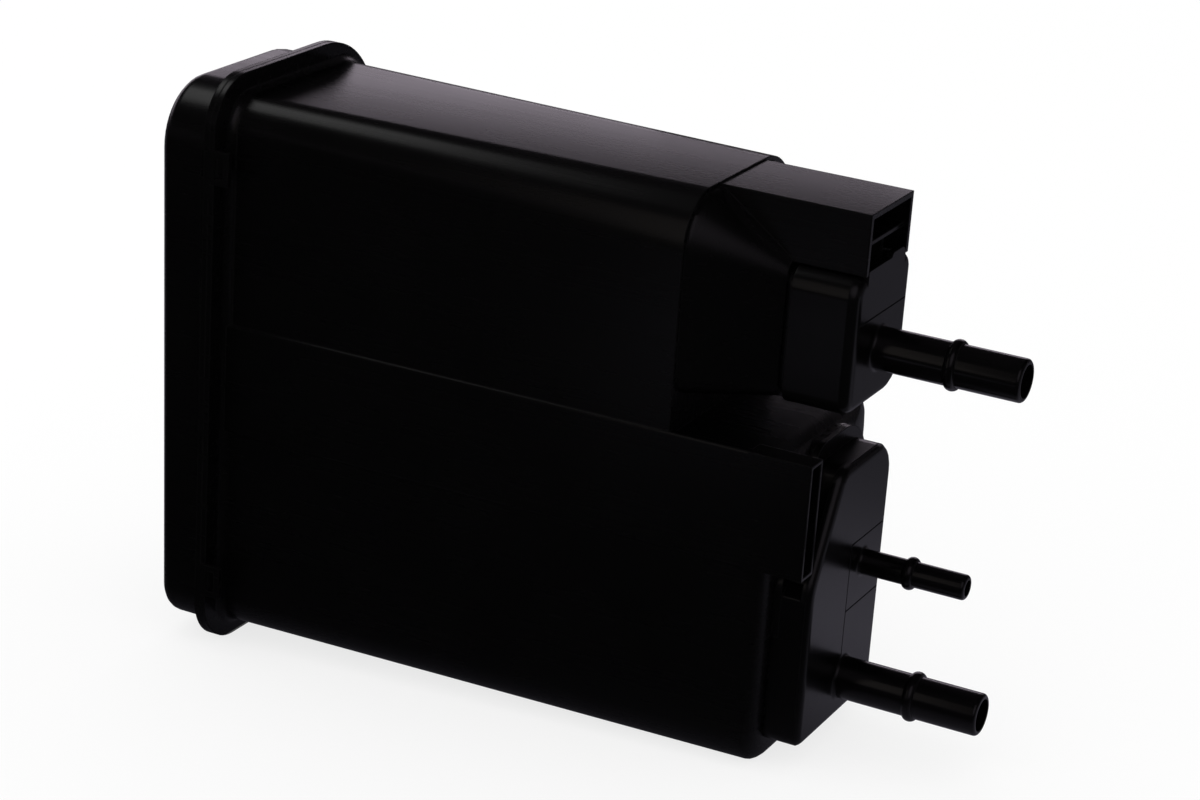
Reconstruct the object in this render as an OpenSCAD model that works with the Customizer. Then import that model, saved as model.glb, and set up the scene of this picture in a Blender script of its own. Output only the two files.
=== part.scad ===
// Charcoal canister of a fuel tank venting system: a moulded two-chamber body with an end cover,
// two welded port covers, and the carbon beds, felts, retainer plates and springs inside.
// X runs from the end cover to the ports, Y from the front to the rear, Z up.

/* [Body] */
// Length of the upper chamber, from the joint face to its end step
upper_l = 187; // [150:1:195]
// Length of the lower chamber, from the joint face to its end face
lower_l = 229; // [222:1:260]
// Width of the body at the joint face
body_w = 95; // [85:1:105]
// Height of the body at the joint face
body_h = 211; // [200:1:225]
// Height of the partition between the two chambers, above the flange edge
partition_z = 128; // [124:0.5:132]
// Wall thickness of the body
wall = 3; // [2:0.25:4]
// How far each side draws in from the joint face to the upper end
side_draft = 2.5; // [0.5:0.25:4]
// How far the top draws in from the joint face to the upper end
top_draft = 1.2; // [0.5:0.1:3]
// How far the bottom draws in from the joint face to the lower end
bottom_draft = 2.8; // [1:0.1:6]
// Radius of the front long corner at the joint face
corner_r_joint = 13; // [8:0.5:18]
// Radius of the rear long corner at the joint face
corner_r_joint_rear = 22; // [14:0.5:24]
// Radius of the front long corner at the upper end
corner_r_front = 19; // [14:0.5:24]
// Radius of the rear long corner at the upper end
corner_r_rear = 25; // [16:0.5:28]
// Radius of the bottom long corners
corner_r_bottom = 13; // [8:0.5:18]
// How far the band above the mounting pocket stands out from the upper chamber
band_proud = 1.1; // [0.5:0.1:2]
// Length of the rounding at the lower end, at the top
end_round_l = 10; // [6:0.5:12]
// Length of the rounding at the lower end, at the bottom
end_round_l_low = 5; // [4:0.5:6]
// How far that rounding draws in at the front
end_round_front = 9.5; // [8:0.5:10]
// How far that rounding draws in at the rear
end_round_rear = 16; // [9:0.5:16]
// How far that rounding draws in at the top
end_round_top = 11; // [8:0.5:12]
// How far that rounding draws in at the bottom
end_round_bottom = 5; // [3:0.5:6]

/* [Flange and end cover] */
// How far the flange reaches past the body at the front
flange_lip = 10; // [8:0.5:12]
// How far the flange reaches past the body at the rear
flange_lip_rear = 6.5; // [6:0.5:12]
// How far the flange reaches below the body
flange_lip_bottom = 6.5; // [5:0.5:8]
// How far the flange reaches above the body
flange_lip_top = 8.5; // [6:0.5:10]
// Thickness of each of the two flanges
flange_t = 2.3; // [2:0.1:3.5]
// Radius of the flange corners at the front
flange_r_front = 20; // [16:0.5:24]
// Radius of the lower flange corner at the rear
flange_r_rear = 26; // [18:0.5:30]
// Radius of the upper flange corner at the rear
flange_r_rear_top = 37; // [30:0.5:42]
// Depth of the cover past its flange, at the top
cover_depth_top = 24; // [20:0.5:28]
// Depth of the cover past its flange, at the bottom
cover_depth_bottom = 19.9; // [17:0.2:24]
// How far the cover's pan lies inside its flange edge
cover_inset = 5.2; // [4.6:0.2:6.2]
// The same at the top edge
cover_inset_top = 6.6; // [5:0.2:8]
// Radius of the pan's upper front corner
cover_r_front = 24; // [18:0.5:30]
// Radius of the cover's outer edge
cover_edge_r = 5; // [3:0.5:7]
// How far the shoulder beside the cover's flange stands out from the pan
shoulder_out = 1.2; // [0.6:0.1:1.8]
// Length of that shoulder at the top
shoulder_l_top = 4.5; // [3:0.5:6]
// Length of that shoulder at the bottom
shoulder_l_bottom = 1.5; // [1:0.5:3]
// Wall thickness of the end cover
cover_wall = 2.8; // [2:0.2:3.6]

/* [Snap loops] */
// Height of a snap loop
loop_h = 13; // [12:0.5:16]
// How far a snap loop reaches past the joint face
loop_reach = 8.5; // [7:0.5:10]
// Thickness of a snap loop
loop_t = 2.2; // [1.6:0.1:2.6]
// Height of the front upper loop above the flange edge
loop_z_top = 194; // [180:1:196]
// Height of the rear upper loop above the flange edge
loop_z_rear = 165; // [140:1:170]
// Height of the lower loops above the flange edge
loop_z_bottom = 29.5; // [28:0.5:50]

/* [Neck and mounting box] */
// Length of the tapered neck
neck_l = 30; // [24:1:33]
// How far the neck steps in from the upper chamber
neck_step = 1.5; // [1:0.1:2.5]
// Height of the neck's underside above the flange edge
neck_z = 143.5; // [140:0.5:148]
// Width of the mounting box
box_w = 37.2; // [34:0.2:40]
// Reach of the mounting box past the upper chamber
box_l = 57.5; // [54:0.5:60]
// Thickness of the solid back of the mounting box
box_back = 10; // [8:0.5:12]
// Wall thickness of the mounting box
box_wall = 2; // [1.6:0.1:2.4]
// Height of the cross rib in the box, measured down from the box top
box_rib_drop = 11.4; // [10:0.1:13]
// Thickness of the ribs in the box
rib_t = 1.6; // [1.2:0.1:2]

/* [Mounting pocket] */
// Outer width of the pocket
pocket_w = 9.4; // [8.8:0.2:11]
// Outer height of the pocket
pocket_h = 43.4; // [36:0.2:44]
// Height of the pocket's top edge above the flange edge
pocket_z = 131.3; // [130:0.1:134]
// How far the pocket reaches past the lower end face
pocket_reach = 13.2; // [10:0.2:14]
// Wall thickness of the pocket
pocket_wall = 1.2; // [1.2:0.1:2]

/* [Vent port cover] */
// Width of the vent cover
vent_w = 48; // [46:0.5:52]
// Height of the vent cover
vent_h = 50.5; // [48:0.5:51]
// Depth of the vent cover
vent_depth = 25.4; // [22:0.2:30]
// Radius of the vent cover's outer edge
vent_edge_r = 4; // [2:0.5:5]
// Gap in the groove between the neck and the vent cover
groove_l = 2.2; // [1.6:0.1:3]
// Length of the spigot that the vent cover fits over
spigot_l = 4; // [3:0.5:6]
// Height of the vent cover's lip in the mounting box
lip_h = 1.8; // [1:0.1:2.2]
// Height of the rounded tab on that lip
tab_h = 3.4; // [2.6:0.1:4.5]
// Distance of the tab's front side behind the mid-plane
tab_y = 4; // [2:0.5:8]
// Height of the vent tube's axis above the vent cover's underside
vent_tube_up = 20; // [18:0.2:24]

/* [Fuel port cover] */
// Reach of the fuel cover to the rear of the mid-plane
fuel_rear = 29.5; // [28:0.5:31]
// Reach of the fuel cover to the front of the mid-plane
fuel_front = 36; // [35:0.5:37]
// Height of the fuel cover's underside above the flange edge
fuel_z = 18.5; // [18:0.5:21]
// Height of the fuel cover
fuel_h = 101; // [98:0.5:102]
// Depth of the fuel cover
fuel_depth = 13.9; // [12:0.1:20]
// Height of the sloped ledge in the fuel cover's front side, above the cover's underside
fuel_ledge = 58; // [54:0.5:60]
// How far the ledge slopes up
fuel_ledge_rise = 4; // [3:0.5:5]
// How far the side above the ledge lies behind the end plate's edge
fuel_ledge_w = 5; // [3:0.5:6]
// Height where the end plate's slanted edge starts, above the cover's underside
fuel_slant_up = 61.5; // [60:0.5:66]
// How far the slanted edge leans to the rear
fuel_slant = 21; // [16:0.5:24]
// Thickness of the end plate
fuel_plate_t = 4.2; // [4:0.2:5]
// Radius of the fuel cover's outer edge
fuel_edge_r = 3; // [2:0.2:3.6]
// How far the weld rim stands out from the fuel cover's sides
rim_out = 2.4; // [1.5:0.1:3]
// How far the weld rim stands above the fuel cover
rim_up = 6.4; // [4:0.2:7]
// Thickness of the weld rim on each side of the joint
rim_t = 2.5; // [2:0.1:3]
// Height of the tank tube's axis above the cover's underside
tank_tube_up = 15.6; // [15:0.1:18]
// Height of the purge tube's axis above the cover's underside
purge_tube_up = 58.2; // [54:0.2:62]
// Distance of the purge tube's axis behind the mid-plane
purge_tube_rear = 9.8; // [6:0.2:14]
// Wall thickness of both port covers
port_wall = 2.5; // [2:0.1:3]

/* [Port tubes] */
// Outer diameter of the vent and tank tubes
tube_d = 15.82; // [14:0.01:17]
// Bore of the vent and tank tubes
tube_bore = 12; // [10:0.1:12.5]
// Length of the vent and tank tubes
tube_l = 55.2; // [48:0.2:60]
// Distance of their bead from the cover
tube_bead_x = 29; // [22:0.5:32]
// Outer diameter of the purge tube
purge_d = 9.49; // [8:0.01:11]
// Bore of the purge tube
purge_bore = 6; // [5:0.1:6.4]
// Length of the purge tube
purge_l = 41; // [36:0.2:46]
// Distance of its bead from the cover
purge_bead_x = 19.1; // [15:0.1:22]
// Width of a bead
bead_w = 4; // [3:0.1:5]
// Height of a bead
bead_h = 1.4; // [1:0.1:2]
// Radius of a tube's tip and root
tube_edge_r = 1.4; // [0.8:0.1:1.6]

/* [Beds, felts and springs] */
// Clearance of the inner pieces
clearance = 0.3; // [0.2:0.05:0.6]
// Thickness of the felts at the ports
felt_t = 3.5; // [2.5:0.25:5]
// Thickness of the foam pads under the retainer plates
pad_t = 6; // [4:0.5:8]
// Thickness of a retainer plate
plate_t = 3; // [2.5:0.25:4]
// Distance of the retainer plates from the joint face
plate_x = 13; // [10:0.5:16]
// Width of a retainer plate's rim
plate_rim = 8; // [6:0.5:9]
// Pitch of the openings in a retainer plate
grid_pitch = 9; // [8:0.5:11]
// Size of an opening in a retainer plate
grid_hole = 6; // [4:0.5:6.5]
// Mean diameter of a spring
spring_d = 24; // [20:0.5:28]
// Wire diameter of a spring
wire_d = 1.8; // [1.4:0.1:2.2]
// Active turns of a spring
spring_turns = 4; // [3:1:5]
// Distance of each spring from the mid-plane
spring_y = 22; // [19:0.5:24]
// Height of a spring's seat above the cover's inner face at the bottom
seat_h = 2.4; // [2:0.2:4]
// Length of the posts that centre the springs
post_h = 5; // [3:0.5:6]
// Clearance of the posts inside the springs
post_gap = 1; // [0.6:0.1:1.5]

/* [Hidden] */
$fn = 64;

// Steps in a long corner, a small corner and an edge rounding
long_steps = 20;
short_steps = 6;
edge_steps = 5;
cover_steps = 12;
// Overlap that makes joined shapes one solid
join = 1;
// Fall of the box top below the end of the upper chamber
box_fall = 0.6;
// How far the neck's small end lies inside the vent cover's outline
neck_end_in = 1;
// Radius of the chamber corners at the partition
partition_r = 4;
// Radius of the sharp edges of extruded outlines
sharp_r = 1;
// Radius of the fillet where the chamber walls run into the flange
fillet_r = 3;
// How far the fillet's end lies below the wall it runs into
skim = 0.05;
// Width and depth of the fine lines on the port faces, and their places beside the tubes
line_w = 0.4;
line_t = 0.3;
line_up = 10.3;
line_down = 15.9;
line_front = 12;
vent_line_up = 33.5;
// Width of the bars of a snap loop, and thickness of the catch's block
loop_bar = 2.4;
catch_t = 3;

// Heights above the flange's lower edge
flange_h = flange_lip_bottom + body_h + flange_lip_top;
body_bottom = flange_lip_bottom;
body_top = flange_lip_bottom + body_h;
upper_floor = partition_z + wall/2;
lower_roof = partition_z - wall/2;
box_top = body_top - top_draft - box_fall;
vent_z = neck_z - neck_end_in;
vent_top = vent_z + vent_h;

// Places along the length
neck_end = upper_l + neck_l;
vent_x = neck_end + groove_l;
vent_face = vent_x + vent_depth;
fuel_face = lower_l + fuel_depth;
box_end = upper_l + box_l;
pocket_end = lower_l + pocket_reach;
felt_seat_upper = upper_l - wall;
felt_seat_lower = lower_l - end_round_l;

// Frame: the middle of the overall length and width and the flange's lower edge are at the origin
cover_back = flange_t + cover_reach(flange_h - cover_inset_top - cover_edge_r);
overall_front = vent_face + tube_l;
frame_x = (overall_front - cover_back)/2;
frame_y = (flange_lip - flange_lip_rear)/2;

plastic = "#1b1a1c";

// Plane outlines: convex polygons, counterclockwise in Y and Z

function unit(v) = v/norm(v);
function left(v) = [-v[1], v[0]];
function before(p, i) = p[(i + len(p) - 1) % len(p)];
function after(p, i) = p[(i + 1) % len(p)];
function edge_in(p, i) = left(unit(p[i] - before(p, i)));
function edge_out(p, i) = left(unit(after(p, i) - p[i]));

// Corner i of an outline, moved inwards by d from both its edges
function corner_in(p, i, d) =
    let (a = edge_in(p, i), b = edge_out(p, i))
    p[i] + d*(a + b)/(1 + a*b);

function inset(p, d) = [for (i = [0:len(p) - 1]) corner_in(p, i, d)];

// The arc that rounds corner i with radius r
function corner_arc(p, i, r, steps) =
    let (a = -edge_in(p, i), b = -edge_out(p, i), from = atan2(a[1], a[0]), turn = acos(a*b))
    [for (k = [0:steps])
        corner_in(p, i, r) + r*[cos(from + turn*k/steps), sin(from + turn*k/steps)]];

// An outline with a radius for each corner
function rounded(p, radii, steps) =
    [for (i = [0:len(p) - 1]) each corner_arc(p, i, max(radii[i], 0.5), steps)];

// A rectangle from its sides: front, rear, bottom and top
function rect(front, rear, bottom, top) =
    [[rear, bottom], [rear, top], [front, top], [front, bottom]];

function less(radii, d) = [for (r = radii) r - d];

// An outline set upright at a place along the length
function ring(x, p) = [for (q = p) [x, q[0], q[1]]];

// Solid between rings that all have the same number of points, in order along +X
module skin(rings) {
    n = len(rings[0]);
    last = len(rings) - 1;
    points = [for (r = rings) each r];
    sides = [for (k = [0:last - 1]) for (i = [0:n - 1])
        let (a = k*n + i, b = k*n + (i + 1) % n)
        each [[a, a + n, b + n], [a, b + n, b]]];
    start = [for (i = [0:n - 1]) i];
    end = [for (i = [0:n - 1]) last*n + n - 1 - i];
    polyhedron(points = points, faces = concat(sides, [start, end]), convexity = 6);
}

// Rings of a block from x0 to x1 whose edge at x1 is rounded
function block_rings(p, radii, x0, x1, edge, steps) =
    concat([ring(x0, rounded(p, radii, steps))],
        [for (k = [0:edge_steps])
            let (d = edge*(1 - cos(90*k/edge_steps)))
            ring(x1 - edge + edge*sin(90*k/edge_steps), rounded(inset(p, d), less(radii, d), steps))]);

// Extrusion along X of an outline drawn in Y and Z
module along_x(x, l) {
    translate([x, 0, 0])
        rotate([90, 0, 90])
            linear_extrude(l) children();
}

// Flat outline with true round corners
module outline(p, radii) {
    polygon([for (i = [0:len(p) - 1]) each
        [corner_in(p, i, radii[i]) - radii[i]*edge_in(p, i),
         corner_in(p, i, radii[i]) - radii[i]*edge_out(p, i)]]);
    for (i = [0:len(p) - 1])
        translate(corner_in(p, i, radii[i])) circle(radii[i]);
}

// Box from its lowest to its highest corner
module block(low, high) {
    translate(low) cube(high - low);
}

// Moves a piece from the joint-face datum to the part's frame
module place() {
    translate([-frame_x, frame_y, 0]) children();
}

// Sections of the two chambers at a place along the length

function upper_half(x) = body_w/2 - side_draft*x/upper_l;
function lower_half(x) = upper_half(x) + band_proud/3;
function roof(x) = body_top - top_draft*x/upper_l;
function keel(x) = body_bottom + bottom_draft*x/lower_l;
function mix(a, b, x) = a + (b - a)*x/upper_l;

function upper_section(x, floor_z, d) =
    rounded(rect(d - upper_half(x), upper_half(x) - d, floor_z, roof(x) - d),
        [partition_r - d/2, mix(corner_r_joint_rear, corner_r_rear, x) - d,
            mix(corner_r_joint, corner_r_front, x) - d, partition_r - d/2],
        long_steps);

function lower_section(x, roof_z, d) =
    rounded(rect(d - lower_half(x), lower_half(x) - d, keel(x) + d, roof_z),
        [corner_r_bottom - d, partition_r, partition_r, corner_r_bottom - d],
        long_steps);

// Section of the lower chamber's rounded end, drawn in by a share of the full rounding
end_r_gain = 6;
function end_section(x, share) =
    rounded(rect(end_round_front*share - lower_half(x), lower_half(x) - end_round_rear*share,
            keel(x) + end_round_bottom*share, upper_floor - end_round_top*share),
        [corner_r_bottom, partition_r + end_r_gain*share, partition_r, corner_r_bottom], long_steps);

// Length of the rounding at a height, shorter towards the bottom
function end_length(z) =
    end_round_l_low + (end_round_l - end_round_l_low)*(z - body_bottom)/(upper_floor - body_bottom);

// Lower chamber outside, with its rounded end
function lower_outer_rings() =
    concat([ring(0, lower_section(0, upper_floor, 0))],
        [for (k = [0:edge_steps + 1])
            let (a = 90*k/(edge_steps + 1))
            [for (q = end_section(lower_l, 1 - cos(a)))
                [lower_l - end_length(q[1])*(1 - sin(a)), q[0], q[1]]]]);

// Fuel cover outlines: the end plate, the box behind it up to the sloped ledge, and the part above the ledge
fuel_overlap = 14;
fuel_split = fuel_z + fuel_ledge;
fuel_bend = fuel_z + fuel_slant_up;
fuel_top = fuel_z + fuel_h;
fuel_plate = [[fuel_rear, fuel_z], [fuel_rear, fuel_top], [fuel_slant - fuel_front, fuel_top],
    [-fuel_front, fuel_bend], [-fuel_front, fuel_z]];
fuel_plate_r = [6, 13, 8, 18, 5];
fuel_low = [[fuel_rear, fuel_z], [fuel_rear, fuel_split + fuel_ledge_rise],
    [fuel_ledge_w - fuel_front, fuel_split + fuel_ledge_rise], [-fuel_front, fuel_split],
    [-fuel_front, fuel_z]];
fuel_low_r = [6, sharp_r, sharp_r, sharp_r, 5];
fuel_high_r = [sharp_r, 13, 8, 8, sharp_r];

// Outline above the ledge, up to a height and set back by a depth; the slanted side keeps its angle
function fuel_high(top, back) =
    let (foot = back - fuel_front, lean = fuel_slant/(fuel_top - fuel_bend))
    [[fuel_rear, fuel_split - fuel_overlap], [fuel_rear, top], [foot + lean*(top - fuel_bend), top],
        [foot, fuel_bend], [foot, fuel_split - fuel_overlap]];

// Weld rim round the joint of the lower chamber and the fuel cover
rim_back = 2;
rim_outline = inset(fuel_high(fuel_top + rim_up - rim_out, rim_back), -rim_out);
rim_r = [sharp_r, 22, 8, 8, sharp_r];

// Vent cover outline and its corner radii
vent_outline = rect(-vent_w/2, vent_w/2, vent_z, vent_top);
vent_r = [14, 6, 8, 6];

// Flange outline and its corner radii
flange_outline = rect(-body_w/2 - flange_lip, body_w/2 + flange_lip_rear, 0, flange_h);
flange_r = [flange_r_rear, flange_r_rear_top, flange_r_front, flange_r_front];

// Neck of the upper chamber
neck_low_r = 8;
neck_end_r = [10, 6, 6, 6];

function neck_start(d) =
    rounded(rect(neck_step + d - upper_half(upper_l), upper_half(upper_l) - neck_step - d,
            neck_z + d, roof(upper_l) - neck_step - d),
        [neck_low_r, corner_r_rear - d, corner_r_front - d, neck_low_r], long_steps);

function neck_finish(d) =
    rounded(rect(neck_end_in + d - vent_w/2, vent_w/2 - neck_end_in - d,
            vent_z + neck_end_in + d, vent_top + neck_end_in - d),
        neck_end_r, long_steps);

function spigot(d) =
    rounded(inset(vent_outline, port_wall + clearance + d), less(vent_r, port_wall + d), long_steps);

module neck_outside() {
    skin([ring(upper_l - join, neck_start(0)), ring(upper_l + neck_step, neck_start(0)),
        ring(neck_end, neck_finish(0))]);
    skin([ring(neck_end - join, spigot(0)), ring(vent_x + spigot_l, spigot(0))]);
}

module neck_inside() {
    skin([ring(felt_seat_upper - join, neck_start(2*wall)), ring(upper_l + neck_step, neck_start(2*wall)),
        ring(neck_end - wall, neck_finish(2*wall)), ring(vent_x + spigot_l + join, spigot(port_wall))]);
}

// Mounting box: an open-ended channel with a cross rib and an upright rib
module mounting_box() {
    low = vent_top + clearance;
    rib_z = box_top - box_rib_drop;
    room_x = upper_l + box_back;
    difference() {
        block([upper_l - join, -box_w/2, low], [box_end, box_w/2, box_top]);
        block([room_x, box_wall - box_w/2, low - join],
            [box_end + join, box_w/2 - box_wall, box_top - box_wall]);
    }
    block([room_x - join, join - box_w/2, rib_z - rib_t], [box_end - box_wall, box_w/2 - join, rib_z]);
    block([room_x - join, -rib_t/2, low], [vent_face - port_wall - clearance, rib_t/2, rib_z - rib_t/2]);
}

// Band along the front of the lower chamber, which ends in the mounting pocket
pocket_front = -(upper_half(lower_l) + band_proud);
module front_band() {
    function band(x) = rounded(
        rect(-(upper_half(x) + band_proud), -(upper_half(x) - wall), pocket_z - pocket_h, pocket_z),
        [sharp_r, sharp_r, sharp_r, sharp_r], short_steps/2);
    skin([ring(flange_t/2, band(0)), ring(felt_seat_lower, band(lower_l))]);
}

module pocket_outside() {
    block([felt_seat_lower - join, pocket_front, pocket_z - pocket_h],
        [pocket_end, pocket_front + pocket_w, pocket_z]);
}

module pocket_inside() {
    block([felt_seat_lower + wall, pocket_front + pocket_wall, pocket_z - pocket_h + pocket_wall],
        [pocket_end + join, pocket_front + pocket_w - pocket_wall, pocket_z - pocket_wall]);
}

// Snap loops and the catches they close over, at two heights on both sides
loop_heights = [[loop_z_bottom, loop_z_top], [loop_z_bottom, loop_z_rear]];
loop_faces = [body_w/2 + flange_lip, body_w/2 + flange_lip_rear];

module at_loops() {
    for (side = [0, 1])
        mirror([0, side, 0])
            for (z = loop_heights[side])
                translate([0, -loop_faces[side], z]) children();
}

module loop_notches() {
    at_loops()
        block([-join, -join, -loop_h/2 - clearance],
            [flange_t + join, loop_t + clearance, loop_h/2 + clearance]);
}

module loop_catches() {
    base = loop_t + clearance;
    reach = loop_reach - loop_bar - clearance;
    at_loops() {
        block([flange_t/2, base, -loop_h/2 + loop_bar], [reach, base + catch_t, loop_h/2 - loop_bar]);
        catch_hook(flange_t + clearance, reach, base, loop_h - 2*loop_bar - 2*clearance);
    }
}

// Hook of a catch, which falls away from the flange so that the loop can ride over it
module catch_hook(x0, x1, base, h) {
    tip = clearance;
    flat = (x1 - x0)/4;
    translate([0, 0, -h/2])
        linear_extrude(h)
            polygon([[x0, base + join], [x0, tip], [x0 + flat, tip], [x1, base], [x1, base + join]]);
}

module snap_loops() {
    at_loops()
        difference() {
            block([-flange_t, 0, -loop_h/2], [loop_reach, loop_t, loop_h/2]);
            block([flange_t + clearance/2, -join, -loop_h/2 + loop_bar],
                [loop_reach - loop_bar, loop_t + join, loop_h/2 - loop_bar]);
        }
}

// Openings from the lower chamber into the fuel cover, one for each port
rib_low = fuel_z + (tank_tube_up + purge_tube_up)/2 - rib_t;
rib_high = rib_low + 2*rib_t;
room_wall = 2*port_wall;
tank_room = rect(room_wall - fuel_front, fuel_rear - room_wall, fuel_z + room_wall, rib_low);
tank_room_r = [3, sharp_r, sharp_r, 3];
purge_room_inset = inset(fuel_high(fuel_top, fuel_ledge_w), room_wall);
purge_room = [[purge_room_inset[0][0], rib_high], purge_room_inset[1], purge_room_inset[2],
    purge_room_inset[3], [purge_room_inset[3][0], rib_high]];
purge_room_r = [sharp_r, 10, 6, 6, sharp_r];

module canister_body() {
    color(plastic) place() difference() {
        union() {
            skin([ring(0, upper_section(0, lower_roof, 0)),
                ring(upper_l, upper_section(upper_l, lower_roof, 0))]);
            skin(lower_outer_rings());
            neck_outside();
            mounting_box();
            front_band();
            pocket_outside();
            along_x(lower_l - rim_t, rim_t) outline(rim_outline, rim_r);
            difference() {
                along_x(0, flange_t) outline(flange_outline, flange_r);
                loop_notches();
            }
            flange_fillet();
            loop_catches();
        }
        skin([ring(-join, upper_section(0, upper_floor, wall)),
            ring(felt_seat_upper, upper_section(felt_seat_upper, upper_floor, wall))]);
        skin([ring(-join, lower_section(0, lower_roof, wall)),
            ring(felt_seat_lower, lower_section(felt_seat_lower, lower_roof, wall))]);
        neck_inside();
        pocket_inside();
        along_x(felt_seat_lower - join, end_round_l + 2*join) {
            outline(tank_room, tank_room_r);
            outline(purge_room, purge_room_r);
        }
    }
}

// Fillet where the chamber walls run into the flange
module flange_fillet() {
    function body_outline(d) = rounded(
        rect(-d - lower_half(0), lower_half(0) + d, body_bottom - d, body_top + d),
        [corner_r_bottom + d, corner_r_joint_rear + d, corner_r_joint + d, corner_r_bottom + d], long_steps);
    skin([for (k = [0:edge_steps])
        let (a = 90*k/edge_steps)
        ring(flange_t + fillet_r*(1 - cos(a)) - skim*cos(a), body_outline(fillet_r*(1 - sin(a)) - skim))]);
}

// End cover: a pan that is a little deeper at the top, with its flange, loops and spring seats

function cover_reach(z) = cover_depth_bottom + (cover_depth_top - cover_depth_bottom)*z/flange_h;

pan_outline = rect(cover_inset - body_w/2 - flange_lip, body_w/2 + flange_lip_rear - cover_inset,
    cover_inset, flange_h - cover_inset_top);
pan_r = [flange_r_rear - cover_inset, flange_r_rear_top - cover_inset,
    cover_r_front, flange_r_front - cover_inset];

// Pan with a rounded edge, made smaller all round by d, from its outer face to x1
function pan(d, x1) =
    let (p = inset(pan_outline, d), radii = less(pan_r, d), edge = cover_edge_r - d/2)
    concat(
        [for (k = [edge_steps:-1:0])
            let (in = edge*(1 - cos(90*k/edge_steps)), back = edge*(1 - sin(90*k/edge_steps)))
            [for (q = rounded(inset(p, in), less(radii, in), cover_steps))
                [back + d - flange_t - cover_reach(q[1]), q[0], q[1]]]],
        [ring(x1, rounded(p, radii, cover_steps))]);

// Shoulder beside the flange, longer at the top
function shoulder() =
    let (q = rounded(inset(pan_outline, -shoulder_out), less(pan_r, -shoulder_out), cover_steps))
    [[for (c = q)
        let (l = shoulder_l_bottom + (shoulder_l_top - shoulder_l_bottom)*c[1]/flange_h)
        [-flange_t - l, c[0], c[1]]],
    ring(-flange_t/2, q)];

seat_x = -flange_t - cover_depth_bottom + cover_wall + seat_h;
post_r = (spring_d - wire_d)/2 - post_gap;
spring_heights = [(keel(0) + lower_roof)/2, (upper_floor + roof(0))/2];

module at_springs() {
    for (z = spring_heights)
        for (y = [-spring_y, spring_y])
            translate([0, y, z]) children();
}

module end_cover() {
    color(plastic) place() {
        difference() {
            union() {
                skin(pan(0, -flange_t/2));
                skin(shoulder());
                along_x(-flange_t, flange_t) outline(flange_outline, flange_r);
            }
            skin(pan(cover_wall, join));
        }
        snap_loops();
        intersection() {
            at_springs()
                rotate([0, -90, 0]) {
                    translate([0, 0, -seat_x]) cylinder(r = spring_d/2 + wire_d, h = cover_depth_top);
                    translate([0, 0, -seat_x - post_h]) cylinder(r = post_r, h = cover_depth_top);
                }
            skin(pan(cover_wall/2, 0));
        }
    }
}

// Port tube on a cover's face: a root fillet, a bead and a rounded tip
module port_tube(d, l, bead_x) {
    r = d/2;
    e = tube_edge_r;
    root = [for (a = [0:15:90]) [r + e*(1 - sin(a)), e*(1 - cos(a))]];
    bead = [for (a = [0:20:180]) [r + bead_h*sin(a), bead_x - bead_w/2*cos(a)]];
    tip = [for (a = [0:15:90]) [r - e*(1 - cos(a)), l - e + e*sin(a)]];
    rotate([0, 90, 0])
        rotate_extrude()
            polygon(concat([[0, -port_wall/2], [r + e, -port_wall/2]], root, bead, tip, [[0, l]]));
}

module port_bore(d, l) {
    translate([-2*port_wall, 0, 0])
        rotate([0, 90, 0]) cylinder(d = d, h = l + 3*port_wall);
}

module vent_port_cover() {
    color(plastic) place() difference() {
        union() {
            skin(block_rings(vent_outline, vent_r, vent_x, vent_face, vent_edge_r, short_steps));
            vent_tab();
            translate([vent_face, 0, vent_z + vent_tube_up]) port_tube(tube_d, tube_l, tube_bead_x);
        }
        skin(block_rings(inset(vent_outline, port_wall), less(vent_r, port_wall), vent_x - join,
            vent_face - port_wall, vent_edge_r/2, short_steps));
        translate([vent_face, 0, vent_z + vent_tube_up]) port_bore(tube_bore, tube_l);
        vent_lines();
    }
}

// Lip of the vent cover that stands up into the mounting box, with a rounded tab at the rear
tab_r = [sharp_r, 3.5, 2, sharp_r];
module vent_tab() {
    reach = box_w/2 - box_wall - clearance;
    root = vent_top - vent_edge_r - port_wall;
    along_x(vent_face - port_wall, port_wall) {
        outline(rect(-reach, reach, root, vent_top + lip_h), [sharp_r, sharp_r, sharp_r, sharp_r]);
        outline(rect(tab_y, reach, root, vent_top + tab_h), tab_r);
    }
}

// Fine lines that the slides of the mould leave on a port face
module face_line(x, from, to) {
    block([x - line_t, from[0] - line_w/2, from[1] - line_w/2], [x + join, to[0] + line_w/2, to[1] + line_w/2]);
}

module vent_lines() {
    reach = vent_w/2 - vent_edge_r;
    z = vent_z + vent_line_up;
    face_line(vent_face, [-reach, z], [reach, z]);
}

module fuel_lines() {
    rear = fuel_rear - fuel_edge_r;
    front = purge_tube_rear - line_front;
    low = fuel_z + purge_tube_up - line_down;
    high = fuel_z + purge_tube_up + line_up;
    face_line(fuel_face, [front, high], [rear, high]);
    face_line(fuel_face, [front, low], [rear, low]);
    face_line(fuel_face, [front, fuel_z + tank_tube_up + tube_d/2 + tube_edge_r], [front, high]);
}

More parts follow.
